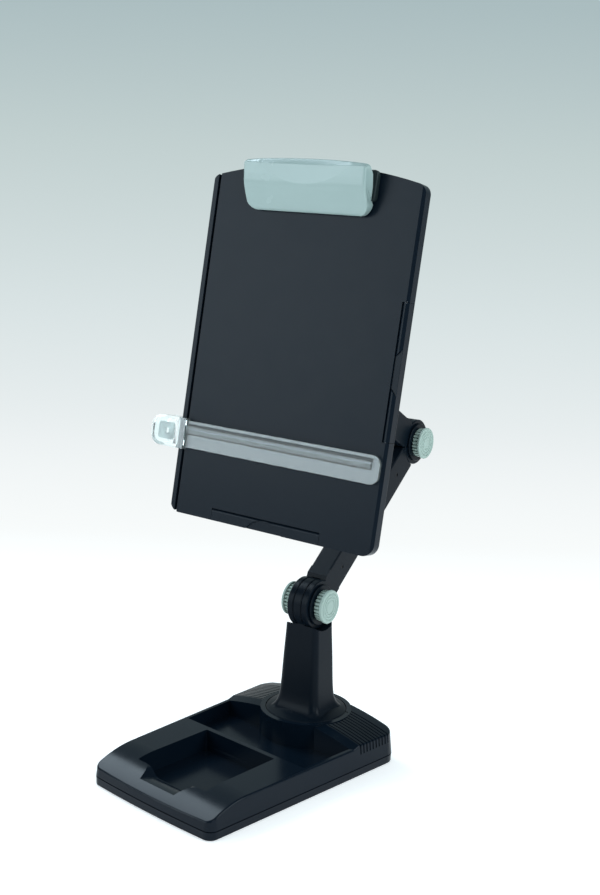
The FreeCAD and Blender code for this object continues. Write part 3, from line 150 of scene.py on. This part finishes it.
# Noise scales are in cells per metre, with their detail, and relief heights in metres.
flow_marks = (9.0, 3.0)
sheen_cloud = (55.0, 4.0)
grain_specks = (2600.0, 2.0)
grain_pebble = (900.0, 3.0)
flow_relief = 0.0004
pebble_relief = 0.00005
speck_relief = 0.00002
usual_gloss = 0.35

acrylic_haze = (70.0, 4.0)
acrylic_ripple = (18.0, 1.0)
acrylic_relief = 0.0002
acrylic_index = 1.49

turning_marks = (400.0, 3.0, (1.0, 1.0, 12.0))
plating_cloud = (60.0, 3.0)
turning_relief = 0.00003

rubber_bloom = (120.0, 4.0)
rubber_pits = (1500.0, 2.0)
rubber_relief = 0.00006


def moulded_plastic(name, dark, light, rough, grain, gloss=usual_gloss):
    """Moulded plastic with a fine grain, faint flow marks and uneven sheen."""
    finish = Finish(name)
    flow = finish.noise(*flow_marks)
    cloud = finish.noise(*sheen_cloud)
    specks = finish.noise(*grain_specks)
    pebble = finish.noise(*grain_pebble)
    colour = finish.blend(flow * 0.6 + cloud * 0.4, dark, light)
    roughness = rough - 0.05 + 0.08 * cloud + 0.05 * flow
    wavy = finish.bump(flow, flow_relief, 0.15)
    pebbled = finish.bump(pebble, pebble_relief * grain, 0.6, wavy)
    normal = finish.bump(specks, speck_relief * grain, 0.7, pebbled)
    return finish.set(
        Base_Color=colour, Roughness=roughness, Normal=normal, Specular_IOR_Level=gloss,
    )


def clear_plastic(name):
    """Clear polished acrylic with a faint green cast and fine haze."""
    finish = Finish(name)
    haze = finish.noise(*acrylic_haze)
    ripple = finish.noise(*acrylic_ripple)
    return finish.set(
        Base_Color=finish.blend(haze, rgba(0.93, 0.98, 0.97), rgba(0.88, 0.95, 0.94)),
        Roughness=0.015 + 0.02 * haze,
        Normal=finish.bump(ripple, acrylic_relief, 0.05),
        Transmission_Weight=0.95,
        IOR=acrylic_index,
    )


def plated_steel(name, dark, light):
    """Plated steel with fine turning marks."""
    finish = Finish(name)
    marks = finish.noise(*turning_marks)
    cloud = finish.noise(*plating_cloud)
    return finish.set(
        Base_Color=finish.blend(cloud, dark, light),
        Metallic=1.0,
        Roughness=0.24 + 0.14 * marks + 0.08 * cloud,
        Normal=finish.bump(marks, turning_relief, 0.5),
    )


def soft_rubber(name):
    """Matte black rubber with a dusty bloom."""
    finish = Finish(name)
    bloom = finish.noise(*rubber_bloom)
    pits = finish.noise(*rubber_pits)
    return finish.set(
        Base_Color=finish.blend(bloom, rgba(0.016, 0.016, 0.018), rgba(0.034, 0.034, 0.036)),
        Roughness=0.72 + 0.16 * bloom,
        Normal=finish.bump(pits, rubber_relief, 0.6),
    )


# Moulded plastics: dark and light colour of the mottling, roughness, strength of the
# grain, and gloss where it isn't the usual one.
plastics = {
    "base_plastic": (rgba(0.0022, 0.0055, 0.0105), rgba(0.0036, 0.0082, 0.0148), 0.18, 0.5, 0.12),
    "arm_plastic": (rgba(0.0020, 0.0046, 0.0084), rgba(0.0034, 0.0070, 0.0118), 0.32, 0.7, 0.07),
    "board_plastic": (rgba(0.0026, 0.0060, 0.0110), rgba(0.0042, 0.0090, 0.0155), 0.28, 0.6, 0.12),
    "knob_plastic": (rgba(0.29, 0.38, 0.34), rgba(0.35, 0.45, 0.405), 0.42, 1.2),
    "clip_plastic": (rgba(0.28, 0.375, 0.36), rgba(0.33, 0.43, 0.415), 0.24, 0.4, 0.5),
    "clip_base_plastic": (rgba(0.012, 0.020, 0.021), rgba(0.018, 0.028, 0.029), 0.40, 1.0, 0.2),
    "brake_plastic": (rgba(0.50, 0.61, 0.58), rgba(0.60, 0.70, 0.67), 0.42, 0.8),
    "bearing_plastic": (rgba(0.70, 0.70, 0.67), rgba(0.78, 0.78, 0.75), 0.40, 0.8),
}
finishes = {name: moulded_plastic(name, *look) for name, look in plastics.items()}
finishes["clear_acrylic"] = clear_plastic("clear_acrylic")
finishes["steel"] = plated_steel("steel", rgba(0.50, 0.51, 0.53), rgba(0.62, 0.62, 0.60))
finishes["rubber"] = soft_rubber("rubber")
# A much darker steel than the usual one, used only for the arm screws.
dark_screw_steel = plated_steel(
    "dark_screw_steel", rgba(0.020, 0.022, 0.025), rgba(0.035, 0.037, 0.040))

for part in frame["record"]["subparts"]:
    mesh = nodes[part["node"]].data
    finish = finishes[part["material_slot"]]
    # The arm screws take the darker steel instead of the steel of their slot.
    if part["node"].endswith("_arm_screws"):
        finish = dark_screw_steel
    mesh.materials.clear()
    mesh.materials.append(finish)
    mesh.polygons.foreach_set("material_index", [0] * len(mesh.polygons))


# ---- pieces that stand for CAD nodes, in millimetres ----

metre = 1000
sharp_edge = math.radians(32)


def quarter_turn(steps):
    """Angles that split a right angle into equal steps, without the first one at zero."""
    return [math.radians(90 * step / steps) for step in range(1, steps + 1)]


def mesh_piece(name, vertices, faces, finish):
    """A smooth shaded mesh, sharp where it bends by more than sharp_edge."""
    mesh = bpy.data.meshes.new(name)
    mesh.from_pydata([Vector(vertex) / metre for vertex in vertices], [], faces)
    shape = bmesh.new()
    shape.from_mesh(mesh)
    bmesh.ops.recalc_face_normals(shape, faces=shape.faces)
    shape.to_mesh(mesh)
    shape.free()
    mesh.polygons.foreach_set("use_smooth", [True] * len(faces))
    mesh.set_sharp_from_angle(angle=sharp_edge)
    mesh.materials.append(finishes[finish])
    made = bpy.data.objects.new(name, mesh)
    scene.collection.objects.link(made)
    return made


def band(low, high, count):
    """Faces between two closed loops of count points that start at low and high."""
    faces = []
    for index in range(count):
        following = (index + 1) % count
        faces.append((low + index, low + following, high + following, high + index))
    return faces


def ring_faces(rings, count):
    """Faces that join rings of count points each, in order, and close both ends."""
    faces = []
    for ring in range(rings - 1):
        faces += band(ring * count, (ring + 1) * count, count)
    faces.append(tuple(reversed(range(count))))
    faces.append(tuple(range((rings - 1) * count, rings * count)))
    return faces


# The knob: places along the bolt from its joint, radii, and stations as (place, radius,
# rib depth), then the rings on its face and its ribs.
knob_inner_end = 13.8
knob_pocket_end = 17.4
knob_bore_end = 20.8
knob_round_start = 21.8
knob_face = 23.0
knob_bore_radius = 3.1
knob_pocket_radius = 6.1
knob_rib_radius = 15.0
knob_rim_radius = 16.2
knob_round = 1.2
knob_round_steps = 5
knob_dimple_radius = 2.2
knob_inner_edge = [(knob_inner_end, 12.9, 0), (13.9, 14.3, 0.9), (14.3, knob_rib_radius, 1.0)]
knob_ribbed_wall = [(17.2, knob_rib_radius, 1.0), (20.2, knob_rib_radius, 1.0)]
knob_rim_edge = [(20.3, 15.8, 0), (20.5, 16.1, 0), (20.8, knob_rim_radius, 0)]
knob_ring_radii = (12.6, 9.6, 6.6)
knob_ring_section = ((0.8, 0.0), (0.45, 0.5), (0.0, 0.65), (-0.45, 0.5), (-0.8, 0.0))
knob_ribs = 26
knob_points_per_rib = 12
knob_groove_depth = 1.7
knob_groove_sharpness = 0.7


def knob_profile():
    """Stations from the bore round to the face: place along the bolt, radius, rib depth."""
    stations = [
        (knob_bore_end, knob_bore_radius, 0), (knob_pocket_end, knob_bore_radius, 0),
        (knob_pocket_end, knob_pocket_radius, 0), (knob_inner_end, knob_pocket_radius, 0),
    ]
    stations += knob_inner_edge + knob_ribbed_wall + knob_rim_edge
    stations.append((knob_round_start, knob_rim_radius, 0))
    for angle in quarter_turn(knob_round_steps):
        along = knob_round_start + knob_round * math.sin(angle)
        stations.append((along, knob_rib_radius + knob_round * math.cos(angle), 0))
    for ring in knob_ring_radii:
        for offset, sink in knob_ring_section:
            stations.append((knob_face - sink, ring + offset, 0))
    stations.append((knob_face, knob_dimple_radius, 0))
    return stations


def make_knob(name, joint):
    """Ribbed thumb knob with turned rings on its face, on the joint's axis."""
    around = knob_ribs * knob_points_per_rib
    axis = Vector(joint["axis"]).normalized()
    side = axis.cross(Vector((0, 0, 1))).normalized()
    upright = side.cross(axis)
    centre = Vector(joint["pos_m"]) * metre
    vertices = []
    stations = knob_profile()
    for along, radius, depth in stations:
        for index in range(around):
            angle = 2 * math.pi * index / around
            groove = max(0.0, math.cos(knob_ribs * angle)) ** knob_groove_sharpness
            reach = radius - knob_groove_depth * depth * groove
            arm = side * math.cos(angle) + upright * math.sin(angle)
            vertices.append(centre + axis * along + arm * reach)
    knob = mesh_piece(name, vertices, ring_faces(len(stations), around), "knob_plastic")
    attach(knob, joint["child"])
    return knob


# The board's frame: X across, Y into the board, Z up its face.
board_frame = Matrix((
    (0.991876, -0.127175, -0.003060, 2.116),
    (0.126039, 0.979190, 0.159065, -44.629),
    (-0.017233, -0.158158, 0.987263, 384.441),
    (0.0, 0.0, 0.0, 1.0),
))

# The clip lever in that frame: half width, wall, heights and depths of its edges, edge
# roundings as (depth, height) steps, and side profiles as (height, depth) pairs.
lever_half = 64.4
lever_shell = 2.6
jaw_height = 128.0
jaw_depth = -1.5
jaw_tip_depth = -2.2
jaw_tip_rise = 0.5
jaw_back_rise = 0.6
back_bend = 138.0
edge_height = 167.4
edge_round = ((0.12, 0.22), (0.4, 0.36))
crown_height = 173.4
crown_drop = 3.0
crown_depth = 4.6
crown_round = ((6.0, 0.1), (7.2, 0.9))
lever_front = [
    (jaw_height, -4.4), (129.2, -6.2), (131.5, -8.0), (135.0, -10.3), (140.0, -13.3),
    (146.0, -16.6), (149.0, -17.9), (152.0, -18.8), (158.0, -20.0), (edge_height, -21.6),
]
lever_back = [
    (jaw_height, jaw_depth), (back_bend, jaw_depth), (141.0, -5.4), (153.0, -5.8),
    (163.0, -8.2), (171.0, -11.2),
]
front_steps = 56
crown_steps = 8
back_steps = 8

# Its rounded ends, lower corners and solid cheeks, and the hollow between the cheeks.
end_round = 2.0
end_inset = 1.5
end_inset_low = 0.4
end_inset_high = 0.5
end_steps = 5
corner_radius = 9.5
cheeks = (62.0, 60.0, 58.0)
hollow_half = 58.0
hollow_steps = 124
hollow_top = 163.5
hollow_height = 20.5
hollow_step = 0.2
end_cap_rings = ((0.95, 0.05), (0.75, 0.7), (0.4, 1.1), (0.1, 1.2))

# The thumb rest is a shallow bowl whose centre lies above the lever.
dish_centre_height = 229.6
dish_radius = 78.6
dish_reach = 15.6
dish_lip = 0.15
dish_lip_share = 0.03
dish_depth = 2.0

# Hinge barrels in pairs, each pair with a spring between them.
hinge_depth = -9.5
hinge_height = 153.0
barrel_radius = 3.7
barrel_bore_radius = 1.56
barrel_web_depth = -15.6
barrel_web_start = -0.2
barrel_points = 24
barrel_spans = ((-48.0, -16.0), (16.0, 48.0))
barrel_gap = 2.3


def line_at(points, height):
    """Depth of a side profile at a height."""
    for (low, low_depth), (high, high_depth) in zip(points, points[1:]):
        if height <= high:
            return low_depth + (high_depth - low_depth) * (height - low) / (high - low)
    return points[-1][1]


def thumb_dish(x, height):
    """How far the lens-shaped thumb rest sinks below the lever's front."""
    reach = math.hypot(x, dish_centre_height - height)
    sink = (dish_radius - reach) / dish_reach
    if sink <= 0:
        return 0.0
    return dish_lip * min(1.0, sink / dish_lip_share) + dish_depth * sink


def lever_section(x, open_back):
    """Closed outline of the lever at one place across its width."""
    near_end = max(0.0, abs(x) - (lever_half - end_round)) / end_round
    inset = end_inset * (1 - math.sqrt(max(0.0, 1 - near_end ** 2)))
    corner = max(0.0, abs(x) - (lever_half - corner_radius))
    corner_rise = corner_radius - math.sqrt(corner_radius ** 2 - corner ** 2)
    low = jaw_height + corner_rise + end_inset_low * inset
    high = edge_height - end_inset_high * inset
    crown = crown_height - crown_drop * (x / lever_half) ** 2 - inset
    points = []
    for step in range(front_steps + 1):
        height = low + (high - low) * step / front_steps
        points.append((line_at(lever_front, height) + thumb_dish(x, height) + inset, height))
    edge = points[-1][0]
    points += [(edge + inward, high + up) for inward, up in edge_round]
    top_start, top_low = points[-1]
    for step in range(1, crown_steps + 1):
        share = step / crown_steps
        rise = (crown - top_low) * math.sin(math.pi / 2 * share)
        points.append((top_start + crown_depth * share, top_low + rise))
    points += [(edge + inward, crown - down) for inward, down in crown_round]
    hollow_start = hollow_top + hollow_step
    points.append((line_at(lever_back, hollow_start), hollow_start))
    for step in range(back_steps + 1):
        height = hollow_top - hollow_height * step / back_steps
        if open_back:
            points.append((line_at(lever_front, height) + lever_shell, height))
        else:
            points.append((line_at(lever_back, height), height))
    hollow_end = hollow_top - hollow_height - hollow_step
    points.append((line_at(lever_back, hollow_end), hollow_end))
    bottom = max(low, jaw_height + jaw_back_rise)
    points += [
        (jaw_depth, max(back_bend, bottom)), (jaw_depth, bottom + jaw_tip_rise),
        (jaw_tip_depth, low),
    ]
    return points


def lever_cap(outline):
    """Ever smaller copies of an end outline, drawn outwards to close the lever's end."""
    depth = sum(point[1] for point in outline) / len(outline)
    height = sum(point[2] for point in outline) / len(outline)
    side = math.copysign(1, outline[0][0])
    rings = []
    for share, sink in end_cap_rings:
        x = side * (lever_half - sink)
        rings.append([
            (x, depth + (point[1] - depth) * share, height + (point[2] - height) * share)
            for point in outline
        ])
    return rings


def lever_sections():
    """Outlines across the lever, with the hollow between its cheeks and capped ends."""
    end_start = lever_half - end_round
    end = [end_start + end_round * math.sin(angle) for angle in quarter_turn(end_steps)]
    across = [-x for x in reversed(end)] + [-x for x in cheeks]
    first_open = len(across)
    across += [
        -hollow_half + step * 2 * hollow_half / hollow_steps for step in range(hollow_steps + 1)
    ]
    last_open = len(across) - 1
    across += list(reversed(cheeks)) + end
    sections = []
    for index, x in enumerate(across):
        outline = lever_section(x, first_open <= index <= last_open)
        sections.append([(x, depth, height) for depth, height in outline])
    return lever_cap(sections[0])[::-1] + sections + lever_cap(sections[-1])


def add_barrel(vertices, faces, start, end):
    """Hinge barrel round the pin with a web to the lever's front."""
    first = len(vertices)
    outer = []
    inner = []
    for step in range(barrel_points):
        angle = 2 * math.pi * step / barrel_points
        across, up = math.cos(angle), math.sin(angle)
        depth = hinge_depth + barrel_radius * across
        if across < barrel_web_start:
            depth = barrel_web_depth
        outer.append((depth, hinge_height + barrel_radius * up))
        inner.append((
            hinge_depth + barrel_bore_radius * across, hinge_height + barrel_bore_radius * up,
        ))
    loops = ((start, inner), (start, outer), (end, outer), (end, inner))
    for index, (x, loop) in enumerate(loops):
        vertices += [(x, depth, height) for depth, height in loop]
        following = (index + 1) % len(loops)
        faces += band(
            first + index * barrel_points, first + following * barrel_points, barrel_points)


def make_clip_lever():
    """Clip lever: bent front with a thumb rest, crowned top, hollow back and hinge barrels."""
    sections = lever_sections()
    vertices = [point for section in sections for point in section]
    faces = ring_faces(len(sections), len(sections[0]))
    for left, right in barrel_spans:
        third = (right - left - 2 * barrel_gap) / 3
        for start in (left + barrel_gap, right - barrel_gap - third):
            add_barrel(vertices, faces, start, start + third)
    placed = [board_frame @ Vector(point) for point in vertices]
    lever = mesh_piece("clip_lever_shell", placed, faces, "clip_plastic")
    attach(lever, "clip")
    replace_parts(lever, "clip_lever")


knob_joint = "_knob_turn"
for joint in frame["joints"]:
    if joint["name"].endswith(knob_joint):
        place, side = joint["name"][:-len(knob_joint)].split("_")
        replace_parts(make_knob(f"{place}_{side}_knob_ribbed", joint), f"{place}_knob_{side}")
make_clip_lever()


# ---- studio, in metres ----

camera_place = (0.7396, -0.8684, 0.5212)
camera_azimuth = math.radians(41.199)
camera_elevation = math.radians(11.214)
camera_roll = math.radians(2.199)
camera_lens = 49.96
camera_sensor = 36.0
camera_near = 0.05
camera_far = 30.0

# The floor sweeps up into a wall: where it starts and bends, and how wide and high it is.
floor_start = -4.0
floor_end = 1.6
sweep_radius = 1.2
sweep_steps = 16
wall_height = 4.5
backdrop_half = 6.0

# The wall glows by itself from the distance glow_start on, over glow_length. Its share
# grows from fade_start to fade_end, and each stop is a place and a colour.
glow_start = 0.2
glow_length = 4.4
glow_climb = 1.5
glow_stops = (
    (0.0, rgba(1.02, 1.03, 1.03)),
    (0.057, rgba(0.975, 1.0, 0.995)),
    (0.286, rgba(0.847, 0.888, 0.896)),
    (0.545, rgba(0.694, 0.768, 0.776)),
    (0.795, rgba(0.539, 0.631, 0.631)),
    (0.973, rgba(0.407, 0.509, 0.527)),
)
fade_start = 0.05
fade_end = 0.8
paper_fibre = (300.0, 3.0)
paper_relief = 0.00005
paper_glow = 0.45

world_colour = rgba(0.80, 0.90, 0.94)
world_strength = 0.16

# Soft lamps: name, place, target, width, height, watts and colour.
lamps = (
    ("key", (-1.9, 0.05, 2.15), (0, -0.05, 0.2), 1.0, 1.3, 34, (0.74, 0.89, 1.0)),
    ("front", (-1.2, -2.1, 1.0), (0, -0.05, 0.35), 1.5, 1.4, 28, (0.80, 0.93, 1.0)),
    ("right", (2.1, 0.7, 1.3), (0, -0.05, 0.25), 1.2, 1.6, 34, (0.84, 0.95, 1.0)),
    ("fill", (1.9, -1.0, 0.9), (0, -0.05, 0.3), 0.8, 1.2, 12, (0.78, 0.92, 1.0)),
    ("top", (0.1, -0.6, 2.5), (0, -0.05, 0.2), 1.8, 1.8, 9, (0.92, 0.97, 1.0)),
)
light_bounces = 12


def backdrop_finish():
    """White paper near the object that fades into an even grey glow behind it."""
    finish = Finish("backdrop_paper")
    position = finish.node("ShaderNodeNewGeometry", {}, {}).outputs["Position"]
    split = finish.node("ShaderNodeSeparateXYZ", {}, {"Vector": position})
    x, y, z = [Value(finish, split.outputs[axis]) for axis in ("X", "Y", "Z")]
    run = y * math.cos(camera_azimuth) - x * math.sin(camera_azimuth) + glow_climb * z
    glow = finish.node(
        "ShaderNodeValToRGB", {"stops": glow_stops}, {0: (run - glow_start) * (1 / glow_length)})
    fade = finish.node(
        "ShaderNodeMapRange", {"interpolation_type": "SMOOTHSTEP"},
        {0: run, 1: fade_start, 2: fade_end})
    fibre = finish.noise(*paper_fibre)
    finish.set(
        Base_Color=rgba(0.90, 0.905, 0.905),
        Roughness=0.75 + 0.1 * fibre,
        Normal=finish.bump(fibre, paper_relief, 0.3),
        Specular_IOR_Level=0.1,
        Emission_Color=rgba(0.97, 0.99, 1.0),
        Emission_Strength=paper_glow,
    )
    light = finish.node("ShaderNodeEmission", {}, {"Color": glow.outputs[0]})
    mixed = finish.node(
        "ShaderNodeMixShader", {},
        {0: fade.outputs[0], 1: finish.shader.outputs[0], 2: light.outputs[0]})
    surface = finish.tree.nodes["Material Output"].inputs["Surface"]
    finish.tree.links.new(mixed.outputs[0], surface)
    return finish.material


def make_backdrop():
    """Floor that sweeps up into a wall behind the object, square to the view."""
    section = [(floor_start, 0.0), (floor_end, 0.0)]
    for angle in quarter_turn(sweep_steps):
        along = floor_end + sweep_radius * math.sin(angle)
        section.append((along, sweep_radius * (1 - math.cos(angle))))
    section.append((floor_end + sweep_radius, wall_height))
    turn = Matrix.Rotation(camera_azimuth, 3, "Z")
    vertices = []
    for along, up in section:
        for across in (-backdrop_half, backdrop_half):
            vertices.append(turn @ Vector((across, along, up)))
    faces = []
    for low in range(0, 2 * len(section) - 2, 2):
        faces.append((low, low + 1, low + 3, low + 2))
    mesh = bpy.data.meshes.new("backdrop")
    mesh.from_pydata(vertices, [], faces)
    mesh.polygons.foreach_set("use_smooth", [True] * len(faces))
    mesh.materials.append(backdrop_finish())
    made = bpy.data.objects.new("backdrop", mesh)
    scene.collection.objects.link(made)


def aim(direction, up):
    """Rotation whose -Z looks along direction."""
    back = -direction.normalized()
    right = up.cross(back).normalized()
    return Matrix((right, back.cross(right), back)).transposed()


def soft_light(name, place, target, width, height, watts, colour):
    """Rectangular lamp at a place that shines on a target."""
    data = bpy.data.lights.new(name, "AREA")
    data.shape = "RECTANGLE"
    data.size = width
    data.size_y = height
    data.energy = watts
    data.color = colour
    made = bpy.data.objects.new(name, data)
    spot = Vector(place)
    turn = aim(Vector(target) - spot, Vector((0, 0, 1))).to_4x4()
    made.matrix_world = Matrix.Translation(spot) @ turn
    scene.collection.objects.link(made)


def make_camera():
    """Camera from its azimuth, elevation and roll."""
    data = bpy.data.cameras.new("camera")
    data.sensor_width = camera_sensor
    data.lens = camera_lens
    data.clip_start = camera_near
    data.clip_end = camera_far
    back = Vector((
        math.sin(camera_azimuth) * math.cos(camera_elevation),
        -math.cos(camera_azimuth) * math.cos(camera_elevation),
        math.sin(camera_elevation),
    ))
    level = Vector((0, 0, 1)).cross(back).normalized()
    upright = back.cross(level)
    right = math.cos(camera_roll) * level + math.sin(camera_roll) * upright
    up = math.cos(camera_roll) * upright - math.sin(camera_roll) * level
    made = bpy.data.objects.new("camera", data)
    turn = Matrix((right, up, back)).transposed().to_4x4()
    made.matrix_world = Matrix.Translation(Vector(camera_place)) @ turn
    scene.collection.objects.link(made)
    scene.camera = made


def make_world():
    """Faint even light from all sides."""
    world = bpy.data.worlds.new("studio")
    world.use_nodes = True
    background = world.node_tree.nodes["Background"]
    background.inputs["Color"].default_value = world_colour
    background.inputs["Strength"].default_value = world_strength
    scene.world = world


make_camera()
make_backdrop()
make_world()
for lamp in lamps:
    soft_light(*lamp)

scene.view_settings.view_transform = "Standard"
scene.cycles.max_bounces = light_bounces
scene.cycles.transmission_bounces = light_bounces
scene.cycles.transparent_max_bounces = light_bounces
